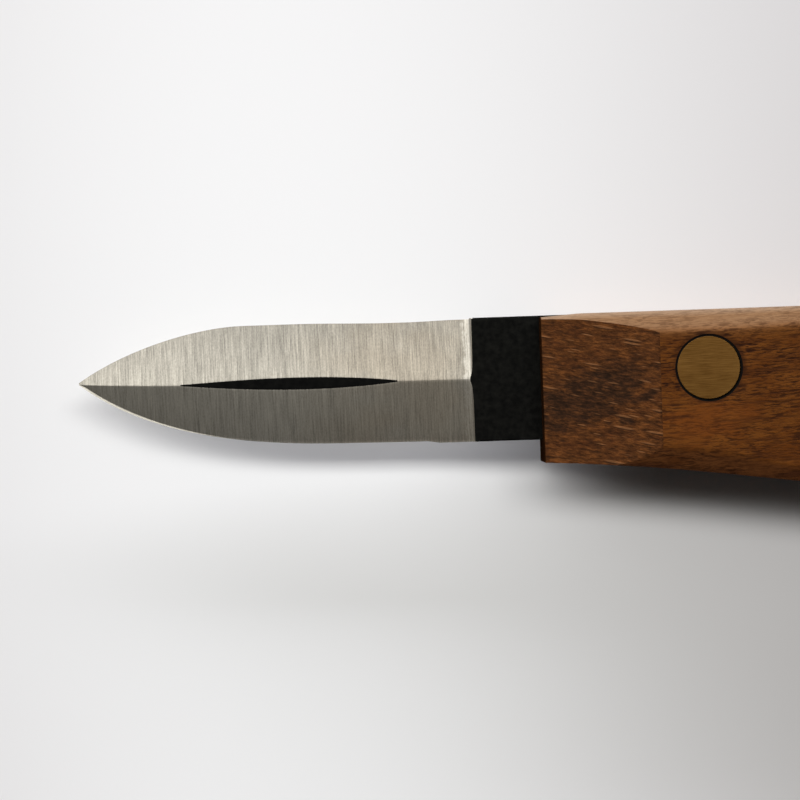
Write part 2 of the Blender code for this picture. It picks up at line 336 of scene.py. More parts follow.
def lines(tree, point, size, turn=0.0):
    values = {"Point": featureSpace(tree, point, size, turn)}
    return addNode(tree, "ShaderNodeGroup", values, node_tree=fineLines).outputs["Lines"]


def startMaterial(name):
    material = bpy.data.materials.new(name)
    material.use_nodes = True
    tree = material.node_tree
    point = tree.nodes.new("ShaderNodeTexCoord").outputs["Object"]
    return material, tree, point, tree.nodes["Principled BSDF"]


def feed(tree, shader, colour, roughness, height, bump, **constants):
    # bump holds its strength and the millimetres that one unit of height stands for
    strength, distance = bump
    values = {"Strength": strength, "Distance": distance * mm, "Height": height}
    normal = addNode(tree, "ShaderNodeBump", values).outputs["Normal"]
    tree.links.new(colour, shader.inputs["Base Color"])
    tree.links.new(roughness, shader.inputs["Roughness"])
    tree.links.new(normal, shader.inputs["Normal"])
    for label, value in constants.items():
        shader.inputs[label.replace("_", " ")].default_value = value


# Blade: bevels ground bright across the bar, bare bar left black

bladeForm = {
    "tip": bladeLow[0] - barOrigin[0], "shoulder": -10.75, "tangEnd": bladeHigh[0] - barOrigin[0],
    "halfWidth": (bladeHigh[1] - bladeLow[1]) / 2, "halfBar": (bladeHigh[2] - bladeLow[2]) / 2,
    "cornerRadius": 0.22, "edgeRadius": 0.02, "tipRise": 1.4, "halfTip": 0.15, "halfEdge": 0.05,
    "upper": {
        "length": 25.6, "angle": 34.0, "tipHold": 8.7, "straightHold": 7.5,
        "wear": (0.0, 0.0), "hollow": 0.3,
    },
    "lower": {
        "length": 43.6, "angle": 38.3, "tipHold": 16.0, "straightHold": 12.0,
        "wear": (0.43, 0.3), "hollow": 0.0,
    },
    "wearRun": (-32.0, -19.0), "wearEnd": -16.05, "wearFade": 2.0,
    "hollowRun": (-38.0, -23.0), "fillRun": (-20.5, -12.5), "hollowLeft": 0.5, "hollowStop": 0.3,
    "landSetback": 15.0, "landLength": 34.5, "landWidth": 1.76, "landTaper": 0.96, "landSkew": 1.19,
    "halfRidge": 0.03, "ridgeRise": 0.12, "ridgeLean": 0.48, "ridgeSweep": 0.68, "sweepPower": 5,
    "ridgeMargin": 0.4,  # in shares of the width, which centres the ridge at the very tip
    "plunge": 1.3, "plungePower": 5.0,
    "honedWidth": 0.34, "honedLeast": 0.02, "honedMost": 0.2, "honedHold": 2.0, "honedEnd": -45.0,
    "honedLift": 0.06,
    "curveSteps": 90, "straightSteps": 96, "plungeSteps": 20,
    "bevelSteps": 26, "landSteps": 6, "cornerSteps": 5,
    "bareStations": (-10.5, -9.0, -6.0, -3.0, 0.0, 10.0, 19.0, 24.5, 30.0, 45.0, 60.0, 72.0, 80.0),
    "boreReach": 4.0, "sharpAngle": 16.0,
    "shoulderSlack": 0.01, "ridgeStop": 0.5, "thinLand": 0.05, "ridgeDepth": 0.05,
    "honedShare": 0.5, "honedSlack": 0.03, "honedFade": 12.0,
}


def edgeLine(x, side, edge):
    # a cubic Bezier curve from the tip to where the bar runs straight, moved inwards by the wear, which
    # stops short of the shoulder, and by a long shallow hollow
    f = bladeForm
    turn = math.radians(edge["angle"])
    tip = (f["tip"], f["tipRise"] + side * f["halfTip"])
    end = (f["tip"] + edge["length"], side * f["halfWidth"])
    leave = (tip[0] + edge["tipHold"] * math.cos(turn), tip[1] + side * edge["tipHold"] * math.sin(turn))
    arrive = (end[0] - edge["straightHold"], end[1])
    curve = bezierHeight(x, [(tip, leave, arrive, end)])
    forward, behind = edge["wear"]
    wear = forward + (behind - forward) * ease(x, *f["wearRun"])
    worn = np.clip((f["wearEnd"] - x) / f["wearFade"], 0.0, 1.0) * ease(x, f["tip"], end[0])
    left = f["hollowLeft"]
    filled = (1.0 - left) * ease(x, *f["fillRun"]) + left * (x > f["shoulder"] - f["hollowStop"])
    hollow = edge["hollow"] * ease(x, *f["hollowRun"]) * (1.0 - filled)
    return curve - side * (wear * worn + hollow)


def landHalf(x):
    # half width of the bare strip between the bevels: a lens (4 s (1 - s))^taper along its length,
    # with s = share^skew, which puts the widest place a little past the middle
    f = bladeForm
    along = np.clip((x - f["tip"] - f["landSetback"]) / f["landLength"], 0.0, 1.0) ** f["landSkew"]
    lens = (4.0 * along * (1.0 - along)) ** f["landTaper"]
    return np.maximum(f["landWidth"] / 2 * lens, f["halfRidge"])


def honedBand(x):
    # width of the honed line along the lower edge, full at the tip and easing to the least at its end
    f = bladeForm
    return f["honedLeast"] + f["honedWidth"] * (1.0 - ease(x, f["tip"] + f["honedHold"], f["honedEnd"]))


def bladeStations():
    f = bladeForm
    start = f["shoulder"] - f["plunge"]
    curved = f["tip"] + f["lower"]["length"] * (1.0 - np.cos(quarterTurn(f["curveSteps"])))
    straight = np.linspace(curved[-1], start, f["straightSteps"])[1:]
    plunge = start + f["plunge"] * np.sin(quarterTurn(f["plungeSteps"]))[1:]
    return np.concatenate((curved, straight, plunge, f["bareStations"], (f["tangEnd"],)))[:, None]


def bladeRings():
    # z(x, y) = min(halfBar, bevel(x, y) + depth * rise(x)), the bevels sloping straight from edge to land
    f, x = bladeForm, bladeStations()
    edge, depth = f["halfEdge"], f["halfBar"] - f["halfEdge"]
    upper, lower = edgeLine(x, 1, f["upper"]), edgeLine(x, -1, f["lower"])
    width = upper - lower
    landStart = np.array([[f["tip"] + f["landSetback"]]])
    fullWidth = edgeLine(landStart, 1, f["upper"]) - edgeLine(landStart, -1, f["lower"])
    ridgeZ = edge + depth * np.minimum(width / fullWidth, 1.0)
    ground = np.clip((f["shoulder"] - x) / (f["shoulder"] - f["tip"]), 0.0, 1.0)
    ridge = f["ridgeRise"] + f["ridgeLean"] * ground + f["ridgeSweep"] * ground ** f["sweepPower"]
    ridge = np.clip(ridge, lower + f["ridgeMargin"] * width, upper - f["ridgeMargin"] * width)
    rise = roundRise(x, f["shoulder"] - f["plunge"], f["plunge"], f["plungePower"])
    lift = depth * rise
    radius = f["edgeRadius"] + (f["cornerRadius"] - f["edgeRadius"]) * rise
    honed = np.minimum(honedBand(x), f["honedMost"] * width)
    landTop, landBottom = ridge + landHalf(x), ridge - landHalf(x)
    flatTop, flatBottom = upper - radius, lower + radius
    honedZ = edge + (ridgeZ - edge) * honed / (landBottom - flatBottom)
    honedRise = f["honedLift"] * (honed - f["honedLeast"]) / f["honedWidth"]

    share = np.linspace(0.0, 1.0, f["bevelSteps"] + 1)
    landShare = np.linspace(0.0, 1.0, f["landSteps"] + 1)[1:-1]
    turn = quarterTurn(f["cornerSteps"] + 1)[:-1]
    heights = (
        flatTop + radius * np.cos(turn),
        flatTop + (landTop - flatTop) * share,
        landTop + (landBottom - landTop) * landShare,
        landBottom + (flatBottom + honed - landBottom) * share,
        flatBottom + 0.0 * x,
        flatBottom - radius * np.cos(turn[::-1]),
    )
    levels = (
        np.minimum(f["halfBar"], edge + lift) - radius * (1.0 - np.sin(turn)),
        edge + (ridgeZ - edge) * share + lift,
        ridgeZ + 0.0 * landShare + lift,
        ridgeZ + (honedZ - ridgeZ) * share + lift,
        honedZ + lift + honedRise,
        np.minimum(f["halfBar"], honedZ + lift) - radius * (1.0 - np.sin(turn[::-1])),
    )
    y, z = np.hstack(heights), np.minimum(np.hstack(levels), f["halfBar"])
    top = np.stack((x + 0.0 * y, y, z), axis=-1)
    return np.concatenate((top, (top * (1.0, 1.0, -1.0))[:, ::-1]), axis=1)


def paintBlade(mesh):
    # bareDepth is the depth in mm below the bar's own face, with a least value where the strip between
    # the bevels is only a ridge; honed is 1 on the honed line, which gets a painted highlight, and fades
    # towards its end
    f = bladeForm
    x, y, z = inBarFrame(mesh.vertices, "co").T
    depth = np.where(x < f["shoulder"] + f["shoulderSlack"], f["halfBar"] - np.abs(z), 0.0)
    onRidge = (x < f["shoulder"] - f["ridgeStop"]) & (landHalf(x) < f["thinLand"])
    paintPoints(mesh, "bareDepth", np.where(onRidge, np.maximum(depth, f["ridgeDepth"]), depth))
    reach = f["honedShare"] * honedBand(x) + f["honedSlack"]
    onEdge = y < edgeLine(x, -1, f["lower"]) + reach
    paintPoints(mesh, "honed", onEdge * (1.0 - ease(x, f["honedEnd"] - f["honedFade"], f["honedEnd"])))


steelLook = {
    "bright": (0.497, 0.467, 0.401), "dull": (0.139, 0.130, 0.111), "freshAndLit": (0.55, 0.52, 0.455),
    "black": (0.0008, 0.0008, 0.0005), "greyed": (0.0076, 0.0074, 0.0060),
    "hairLine": {"size": (0.12, 4.0, 3.0)},
    "grindLine": {"size": (0.24, 12.0, 4.0), "turn": 1.5},
    "grain": {"size": (0.15, 0.34, 0.6), "roughness": 0.7},
    "strokeWeights": (0.42, 0.31, 0.27),  # of hair lines, grinding lines and grain
    "scratch": {"size": (0.2, 6.0, 4.0), "turn": 4.0, "levels": (0.64, 0.72)}, "scratchShare": 0.5,
    "tint": (0.92, 0.876, 0.826), "tintRun": (-44.0, -24.0),
    "tintPatch": {"size": (9.0, 6.0, 8.0)}, "tintLevels": (0.35, 0.6, 0.4, 1.0),
    "ridgeGain": (0.0, 1.55, 1.1, 0.9),  # depths in mm, then the gain at each
    # painted highlight: the ground steel is brighter towards the tip
    "tipHighlightRun": (-70.0, -46.0), "tipHighlightGain": (1.17, 1.0),
    # painted highlights on the fresh steel: a bright band at the shoulder, stronger above the centre line
    "freshAndLitRun": (-1.7, -0.8), "freshAndLitStrokes": (0.25, 0.7, 0.25, 1.0),
    "freshAndLitSide": (-0.2, 0.2), "freshAndLitSideGain": (0.3, 1.0),
    "tongue": {"size": (0.9, 1.2, 1.0), "roughness": 0.6}, "tongueReach": 0.5,
    "patch": {"size": (0.9, 0.9, 0.9), "detail": 5.0, "roughness": 0.65}, "patchLevels": (0.38, 0.72),
    # painted shade: the black is darker on the strip between the bevels
    "lensShadeRun": (-1.0, 0.0), "lensShadeGain": (0.6, 1.0),
    "raggedGain": (0.5, 1.6), "groundDepth": (0.006, 0.018),
    "barRoughness": (0.5, 0.66), "steelRoughness": (0.61, 0.5), "bump": (0.25, 0.02), "specular": 0.05,
}


def grindStrokes(tree, point):
    # from 0 in the dull to 1 in the bright
    hair, grind = (lines(tree, point, **steelLook[name]) for name in ("hairLine", "grindLine"))
    grain = remap(tree, pattern(tree, point, **steelLook["grain"]), *noiseRange)
    return weighted(tree, (hair, grind, grain), steelLook["strokeWeights"])


def freshAndLitMask(tree, point, place, strokes):
    # painted highlights: bright tongues at the shoulder, stronger above the centre line, and the honed
    # edge, which is partly the honed steel's own paler colour
    look, shoulder = steelLook, bladeForm["shoulder"]
    reach = look["tongueReach"] * mm
    shift = remap(tree, pattern(tree, point, **look["tongue"]), *noiseRange, -reach, reach)
    run = toWorld(0, *(shoulder + station for station in look["freshAndLitRun"]))
    tongues = product(
        tree, remap(tree, calc(tree, "ADD", place["X"], shift), *run, smooth=True),
        remap(tree, strokes, *look["freshAndLitStrokes"]),
        remap(tree, place["Y"], *toWorld(1, *look["freshAndLitSide"]), *look["freshAndLitSideGain"]),
    )
    return calc(tree, "MAXIMUM", tongues, attribute(tree, "honed"))


def groundSteel(tree, point, place, depth, strokes):
    # strokes and scratches, browner towards the shoulder and brighter at the ridge, a painted highlight
    # brighter towards the tip, and the painted highlights at the shoulder and honed edge
    look = steelLook
    colour = mixColour(tree, strokes, look["dull"], look["bright"])
    scratch = product(tree, streaks(tree, point, **look["scratch"]), look["scratchShare"])
    colour = mixColour(tree, scratch, colour, look["dull"])
    cloud = remap(tree, pattern(tree, point, **look["tintPatch"]), *look["tintLevels"])
    towardsShoulder = remap(tree, place["X"], *toWorld(0, *look["tintRun"]), smooth=True)
    colour = mixColour(tree, product(tree, towardsShoulder, cloud), colour, look["tint"], "MULTIPLY")
    nearRidge = remap(tree, depth, *look["ridgeGain"])
    tipHighlight = remap(tree, place["X"], *toWorld(0, *look["tipHighlightRun"]), *look["tipHighlightGain"])
    colour = scaled(tree, colour, product(tree, nearRidge, tipHighlight))
    return mixColour(tree, freshAndLitMask(tree, point, place, strokes), colour, look["freshAndLit"])


def blackBar(tree, place, patches):
    # patches of two blacks, darkened by painted shade on the strip between the bevels
    look, shoulder = steelLook, bladeForm["shoulder"]
    colour = mixColour(tree, remap(tree, patches, *look["patchLevels"]), look["black"], look["greyed"])
    run = toWorld(0, *(shoulder + station for station in look["lensShadeRun"]))
    return scaled(tree, colour, remap(tree, place["X"], *run, *look["lensShadeGain"]))


def bladeMaterial():
    material, tree, point, shader = startMaterial("groundSteel")
    look = steelLook
    place, depth = separate(tree, point), attribute(tree, "bareDepth")
    strokes = grindStrokes(tree, point)
    patches = pattern(tree, point, **look["patch"])
    ragged = product(tree, depth, remap(tree, strokes, 0.0, 1.0, *look["raggedGain"]))
    ground = remap(tree, ragged, *look["groundDepth"], smooth=True)
    steel = groundSteel(tree, point, place, depth, strokes)
    colour = mixColour(tree, ground, blackBar(tree, place, patches), steel)
    barRoughness = remap(tree, patches, *noiseRange, *look["barRoughness"])
    steelRoughness = remap(tree, strokes, 0.0, 1.0, *look["steelRoughness"])
    roughness = mixValue(tree, ground, barRoughness, steelRoughness)
    height = mixValue(tree, ground, patches, strokes)
    feed(tree, shader, colour, roughness, height, look["bump"], Specular_IOR_Level=look["specular"])
    tree.links.new(ground, shader.inputs["Metallic"])
    return material


def buildBlade():
    blade = addObject("groundBlade", skinMesh("groundBlade", bladeRings()))
    cutBores(blade, bladeForm["boreReach"])
    paintBlade(blade.data)
    finishPiece(blade, "blade", [bladeMaterial()], bladeForm["sharpAngle"])


buildBlade()
print("blade built")


# Handle: two wooden halves with a rough sloped facet at the front and softened chamfers

handleForm = {
    "front": -0.35, "length": scaleHigh[0] - scaleLow[0], "halfThickness": scaleHigh[2] - barOrigin[2],
    "rampLength": 17.3, "rampDepth": 3.1, "frontEase": 0.12, "frontDip": 0.38, "frontDipRun": 5.5,
    "frontCover": 3.5, "frontFall": 2.5, "frontHold": 26.0,
    "bellyCover": 9.4, "bellySetback": 64.0, "bellyHold": 22.0, "buttCover": 6.4,
    "backRun": 22.0, "backDrop": 9.5, "bellyRun": 16.0, "bellyRise": 8.5, "sideRun": 10.0, "sideDepth": 4.0,
    "backChamfer": (3.5, 3.0), "bellyChamfer": (3.6, 2.1), "chamferRun": (24.0, 42.0), "mostChamfer": 0.45,
    "backSlope": 1.15, "bellySlope": 0.36, "chamferSoftness": 1.35, "leastCorner": 0.02,
    "tangGap": 0.03, "recessStep": 0.01, "glueLine": 0.015, "glueInset": 0.6, "seam": 0.01,
    "frontSteps": 8, "rampSteps": 70, "creaseStep": 0.1, "palmSteps": 130, "endSteps": 6, "buttSteps": 48,
    "wallSteps": 6, "flatSteps": 44, "cornerSteps": 16,
    "boreReach": 14.0, "sharpAngle": 24.0, "facetSlack": 0.03, "frontSlack": 0.15,
    "toneRun": (0.5, 1.5), "rimTone": 0.6, "rimRun": (0.0, 0.35), "wallTone": 0.22, "wallFade": 2.2,
    "buttFade": (90.0, 112.0), "buttLoss": 0.75, "bellyWear": 0.05, "bellyToneRun": (0.6, 1.1),
}
recessEnd = bladeForm["tangEnd"] + handleForm["tangGap"]


def handleLines(x):
    # back = half the bar's width less a dip at the front and a round drop at the butt
    # belly = two cubic Bezier spans plus a round rise at the butt
    # outer face = half the thickness less a round fall at the butt
    # facet = half the thickness less a straight slope towards the front
    # each chamfer eases from its size at the front to its size at the palm, and inset rounds the front edge
    f, half = handleForm, bladeForm["halfWidth"]

    def atButt(run):
        return roundRise(x, f["length"] - run, run)

    front = (0.0, -half - f["frontCover"])
    belly = (f["bellySetback"], -half - f["bellyCover"])
    butt = (f["length"], -half - f["buttCover"])
    third = (butt[0] - belly[0]) / 3.0
    fall = (f["frontHold"], front[1] - f["frontHold"] * math.tan(math.radians(f["frontFall"])))
    spans = [
        (front, fall, (belly[0] - f["bellyHold"], belly[1]), belly),
        (belly, (belly[0] + third, belly[1]), (butt[0] - third, butt[1]), butt),
    ]
    inset = f["frontEase"] * roundRise(f["front"] - x, -f["frontEase"], f["frontEase"])
    dip = f["frontDip"] * np.clip(1.0 - x / f["frontDipRun"], 0.0, 1.0)
    lowest = scaleLow[1] - barOrigin[1]
    backLine = half - f["backDrop"] * atButt(f["backRun"]) - inset - dip
    bellyLine = np.maximum(bezierHeight(x, spans), lowest) + f["bellyRise"] * atButt(f["bellyRun"]) + inset
    outer = f["halfThickness"] - f["sideDepth"] * atButt(f["sideRun"])
    facet = f["halfThickness"] - f["rampDepth"] * np.maximum(1.0 - x / f["rampLength"], 0.0) - inset
    palm = ease(x, *f["chamferRun"])
    most = f["mostChamfer"] * np.minimum(backLine - bellyLine, outer)
    chamfers = [np.minimum(a + (b - a) * palm, most) for a, b in (f["backChamfer"], f["bellyChamfer"])]
    return backLine, bellyLine, outer, np.minimum(facet, outer), *chamfers


def scaleStations():
    f = handleForm
    ramp, step, butt = f["rampLength"], f["creaseStep"], f["length"] - f["backRun"]
    closed = recessEnd + f["recessStep"]
    return np.concatenate((
        f["front"] + f["frontEase"] * (1.0 - np.cos(quarterTurn(f["frontSteps"]))),
        np.linspace(f["front"] + f["frontEase"], ramp - step, f["rampSteps"])[1:],
        (ramp, ramp + step),
        np.linspace(ramp + step, recessEnd, f["palmSteps"])[1:],
        (closed,),
        np.linspace(closed, butt, f["endSteps"])[1:],
        butt + f["backRun"] * np.sin(quarterTurn(f["buttSteps"]))[1:],
    ))[:, None]


def scaleRings(side):
    # each section runs up the belly wall, round a corner, over the flat, round the other corner,
    # down the back wall and along the recess for the tang
    # corner(t): y moves inward by c (1 - cos(t)^(2/p)), z falls short of the outer face by
    # slope c (1 - sin(t)^(2/p)), and t stops where the sloped facet cuts the corner off
    f, x = handleForm, scaleStations()
    back, belly, outer, top, backChamfer, bellyChamfer = handleLines(x)
    power = 2.0 / f["chamferSoftness"]
    share = np.linspace(0.0, 1.0, f["cornerSteps"] + 1)

    def corner(chamfer, slope):
        left = np.clip(1.0 - (outer - top) / (slope * chamfer), f["leastCorner"], 1.0)
        turn = np.arcsin(left ** (1.0 / power)) * share
        inward = chamfer * (1.0 - np.maximum(np.cos(turn), 0.0) ** power)
        start = np.minimum(outer - slope * chamfer, top - slope * chamfer * left)
        return inward, start + slope * chamfer * np.sin(turn) ** power

    bellyIn, bellyZ = corner(bellyChamfer, f["bellySlope"])
    backIn, backZ = corner(backChamfer, f["backSlope"])
    bellyFlat, backFlat = belly + bellyIn[:, -1:], back - backIn[:, -1:]
    bellyFoot, backFoot = bellyZ[:, :1], backZ[:, :1]
    wall = np.linspace(0.0, 1.0, f["wallSteps"] + 1)[:-1]
    flat = np.linspace(0.0, 1.0, f["flatSteps"] + 1)[1:-1]
    glue = f["glueLine"]
    inRecess = x < recessEnd + f["recessStep"] / 2
    recess = np.where(inRecess, bladeForm["halfBar"] + f["tangGap"], glue + f["seam"])
    sunk = np.maximum(-bladeForm["halfWidth"] - f["tangGap"], belly + f["glueInset"])
    y = np.hstack((
        belly + 0.0 * wall, belly + bellyIn, bellyFlat + (backFlat - bellyFlat) * flat,
        back - backIn[:, ::-1], back + 0.0 * wall[1:], back, sunk, sunk,
    ))
    z = np.hstack((
        glue + (bellyFoot - glue) * wall, bellyZ, top + 0.0 * flat,
        backZ[:, ::-1], backFoot + (recess - backFoot) * wall[1:], recess, recess, glue + 0.0 * x,
    ))
    return np.stack((x + 0.0 * y, y, side * z), axis=-1)


def paintScale(mesh):
    # edgeTone marks wear and painted light on the back chamfer, which faces the light: 1 on the chamfer,
    # more at its rim for a painted highlight, and less towards the butt and down the back wall;
    # bellyTone is 1 on the belly chamfer, for a little wear and a painted sheen
    f = handleForm
    x, y, z = inBarFrame(mesh.vertices, "co").T
    back, belly, outer, _, backChamfer, bellyChamfer = handleLines(x)
    reach = (back - y) / backChamfer
    tone = 1.0 - ease(reach, *f["toneRun"]) + f["rimTone"] * (1.0 - ease(reach, *f["rimRun"]))
    tone = tone * (1.0 - f["buttLoss"] * ease(x, *f["buttFade"]))
    cornerFoot = outer - f["backSlope"] * backChamfer
    upWall = ease(np.abs(z), cornerFoot - f["wallFade"], cornerFoot)
    tone = tone * (f["wallTone"] + (1.0 - f["wallTone"]) * upWall)
    bellyTone = 1.0 - ease((y - belly) / bellyChamfer, *f["bellyToneRun"])
    paintPoints(mesh, "edgeTone", np.maximum(tone, f["bellyWear"] * bellyTone))
    paintPoints(mesh, "bellyTone", bellyTone)


def markFacet(mesh):
    # the second material covers the sloped facet and the front face
    f = handleForm
    x, _, z = inBarFrame(mesh.polygons, "center").T
    facet = handleLines(x)[3]
    onFacet = (np.abs(np.abs(z) - facet) < f["facetSlack"]) & (x < f["rampLength"])
    onFront = x < f["front"] + f["frontSlack"]
    mesh.polygons.foreach_set("material_index", (onFacet | onFront).astype(np.int32))


woodLook = {
    # the sanded, golden and rim colours are wear and painted light on the back chamfer, rim a painted
    # highlight
    "brown": (0.096, 0.0275, 0.0036), "light": (0.144, 0.0465, 0.0070), "dark": (0.055, 0.0158, 0.0034),
    "pore": (0.022, 0.0065, 0.0022), "orange": (0.160, 0.0445, 0.0066), "sandedAndLit": (0.184, 0.098, 0.045),
    "golden": (0.165, 0.064, 0.017), "rim": (0.24, 0.155, 0.095), "bellySheen": (0.88, 0.95, 1.8),
    "patch": {"size": (7.0, 2.6, 3.0), "turn": 2.0, "detail": 3.0, "roughness": 0.6, "distortion": 0.4},
    "band": {"size": (15.0, 1.0, 1.6), "turn": 2.5, "detail": 3.0, "roughness": 0.6, "distortion": 0.3},
    "coarse": {"size": (2.0, 0.33, 0.42), "turn": 2.0, "detail": 2.5, "roughness": 0.6, "distortion": 0.2},
    "fine": {"size": (1.0, 0.22, 0.3), "turn": 1.0, "roughness": 0.6},
    "thicket": {"size": (8.0, 3.0, 3.0), "turn": 3.0}, "thicketLevels": (0.36, 0.6, 0.5, 1.1),
    "patchLevels": (0.38, 0.62), "bandLevels": (0.5, 0.66), "bandShare": 0.7,
    "poreLevels": (0.47, 0.62), "poreShare": 0.8, "speckLevels": (0.47, 0.64), "speckShare": 0.55,
    "warmSpot": {"place": (23.0, -7.4, 9.0), "size": (8.0, 3.4, 6.0), "turn": 3.0, "rim": (1.4, 0.3)},
    "warmShift": (-0.4, 0.4), "warmShare": 0.75, "warmGrain": 0.7,
    "wearAndLightGain": (1.0, 0.8), "goldenRun": (0.0, 0.6), "sandedAndLitRun": (0.4, 0.95), "rimRun": (1.0, 1.6),
    "chamferGrain": 0.54,
    "pinStain": {"size": (5.55, 5.55, 1000.0), "rim": (1.08, 0.93)}, "pinStainOff": (0.2, 0.1),
    "pinStainShift": (0.12, -0.12), "pinStainShare": 0.6,
    "pinStreaks": {"size": (8.0, 5.5, 1000.0), "rim": (1.2, 0.7)}, "pinGrain": 1.45,
    "roughness": (0.44, 0.5), "grainRoughness": 0.2, "fineHeight": 0.3,
    "bump": (0.35, 0.08), "specular": 0.05,
}


def woodGrain(tree, point, coarse, fine, edgeTone, warm):
    # dark pores and specks, thicker in places and about the pins, thinner on chamfers and the warm spot
    look = woodLook
    pores = product(tree, remap(tree, coarse, *look["poreLevels"], smooth=True), look["poreShare"])
    specks = product(tree, remap(tree, fine, *look["speckLevels"], smooth=True), look["speckShare"])
    thicket = remap(tree, pattern(tree, point, **look["thicket"]), *look["thicketLevels"])
    onChamfer, onWarm = gainBy(tree, edgeTone, look["chamferGrain"]), gainBy(tree, warm, look["warmGrain"])
    grain = product(tree, calc(tree, "MAXIMUM", pores, specks), thicket, onChamfer, onWarm)
    ragged = remap(tree, coarse, *noiseRange, *look["pinStainShift"])
    right, up = look["pinStainOff"]
    for u, v in pinCentres:
        near = spot(tree, point, (u, v, 0.0), **look["pinStreaks"])
        grain = product(tree, grain, gainBy(tree, near, look["pinGrain"]))
        stained = spot(tree, point, (u + right, v + up, 0.0), ragged=ragged, **look["pinStain"])
        grain = calc(tree, "MAXIMUM", grain, product(tree, stained, look["pinStainShare"]))
    return calc(tree, "MINIMUM", grain, 1.0)


def sideWood():
    material, tree, point, shader = startMaterial("oiledSideWood")
    look = woodLook
    patch, band = pattern(tree, point, **look["patch"]), pattern(tree, point, **look["band"])
    coarse, fine = pattern(tree, point, **look["coarse"]), pattern(tree, point, **look["fine"])
    edgeTone = attribute(tree, "edgeTone")
    colour = mixColour(tree, remap(tree, patch, *look["patchLevels"]), look["brown"], look["light"])
    ragged = remap(tree, patch, *noiseRange, *look["warmShift"])
    warm = spot(tree, point, ragged=ragged, **look["warmSpot"])
    colour = mixColour(tree, product(tree, warm, look["warmShare"]), colour, look["orange"])
    bands = remap(tree, band, *look["bandLevels"], smooth=True)
    colour = mixColour(tree, product(tree, bands, look["bandShare"]), colour, look["dark"])
    # wear and painted light: the back chamfer lighter and golden where it faces the light, a painted
    # highlight at its rim
    worn = product(tree, edgeTone, remap(tree, coarse, *noiseRange, *look["wearAndLightGain"]))
    colour = mixColour(tree, remap(tree, worn, *look["goldenRun"]), colour, look["golden"])
    colour = mixColour(tree, remap(tree, worn, *look["sandedAndLitRun"]), colour, look["sandedAndLit"])
    colour = mixColour(tree, remap(tree, edgeTone, *look["rimRun"]), colour, look["rim"])
    # painted sheen: a bluish cast on the belly chamfer
    colour = mixColour(tree, attribute(tree, "bellyTone"), colour, look["bellySheen"], "MULTIPLY")
    grain = woodGrain(tree, point, coarse, fine, edgeTone, warm)
    colour = mixColour(tree, grain, colour, look["pore"])
    bareRoughness = remap(tree, fine, *noiseRange, *look["roughness"])
    roughness = calc(tree, "ADD", bareRoughness, product(tree, grain, look["grainRoughness"]))
    height = calc(tree, "SUBTRACT", product(tree, fine, look["fineHeight"]), grain)
    feed(tree, shader, colour, roughness, height, look["bump"], Specular_IOR_Level=look["specular"])
    return material


facetLook = {
    "dark": (0.026, 0.0135, 0.0080), "middle": (0.072, 0.0245, 0.0078), "warm": (0.115, 0.0405, 0.0112),
    "fleck": (0.225, 0.098, 0.039), "stain": (0.019, 0.0112, 0.0072),
    "mottle": {"size": (2.8, 1.3, 1.6), "turn": -8.0, "detail": 4.0, "roughness": 0.62},
    "grit": {"size": (1.5, 0.42, 0.5), "turn": -9.0, "detail": 4.0, "roughness": 0.72},
    "mottleLevels": (0.36, 0.64), "pitLevels": (0.32, 0.68), "pitShare": 0.7, "pitGain": (1.72, 0.72),
    "stains": [  # middle, half sizes, turn and strength
        ((6.0, -3.2), (10.6, 4.2), 23.0, 0.82), ((9.0, -0.2), (1.9, 1.1), 0.0, 0.9),
        ((11.0, -3.3), (3.4, 1.5), 20.0, 0.85), ((11.8, -7.0), (1.4, 0.75), -10.0, 0.85),
        ((15.0, -3.4), (3.2, 0.7), 23.0, 0.75),
    ],
    "stainLevel": 7.4, "stainDepth": 6.0, "stainRim": (1.25, 0.55), "stainShift": (-0.3, 0.3),
    "stainGrit": (0.38, 0.60, 0.6, 1.12),
    "fibre": {"size": (2.6, 0.27, 1.2), "turn": -13.0, "levels": (0.53, 0.66)}, "fibreShare": 0.5,
    "sliver": {"size": (5.6, 0.58, 2.0), "turn": -12.0},
    "sliverRun": (0.45, 0.85), "sliverChance": (0.15, 0.45),  # the run in shares of the facet's length
    "splinter": {"size": (3.2, 0.42, 2.0), "turn": -14.0}, "splinterChance": 0.18,
    "shadeStart": (0.15, -0.18, 0.0), "shadeShare": 0.75,
    "fleckGrit": (0.3, 0.6, 1.0, 0.7), "fleckShare": (0.85, 0.6),
    "notch": {"size": (3.0, 1.7, 3.0), "turn": 0.0, "levels": (0.42, 0.6)},
    "creaseRun": (-0.45, -0.05), "creaseReach": 0.3, "creaseGain": 0.45,
    "frontShadeRun": 0.16, "frontShadeGain": (0.2, 1.0),
    "roughness": (0.62, 0.8), "mottleHeight": 0.6, "bump": (0.5, 0.12), "specular": 0.0,
}


def stainMask(tree, point, mottle):
    look, mask = facetLook, 0.0
    ragged = remap(tree, mottle, *noiseRange, *look["stainShift"])
    for middle, halfSize, turn, strength in look["stains"]:
        place, size = (*middle, look["stainLevel"]), (*halfSize, look["stainDepth"])
        blot = spot(tree, point, place, size, look["stainRim"], turn, ragged)
        mask = calc(tree, "MAXIMUM", mask, product(tree, blot, strength))
    return mask


def creaseMask(tree, point, across, mottle):
    # a ragged, broken line where the facet meets the side
    look = facetLook
    reach = look["creaseReach"] * mm
    shifted = calc(tree, "ADD", across, remap(tree, mottle, *noiseRange, -reach, reach))
    run = toWorld(0, *(handleForm["rampLength"] + station for station in look["creaseRun"]))
    crease = remap(tree, shifted, *run, smooth=True)
    return product(tree, crease, streaks(tree, point, **look["notch"]))


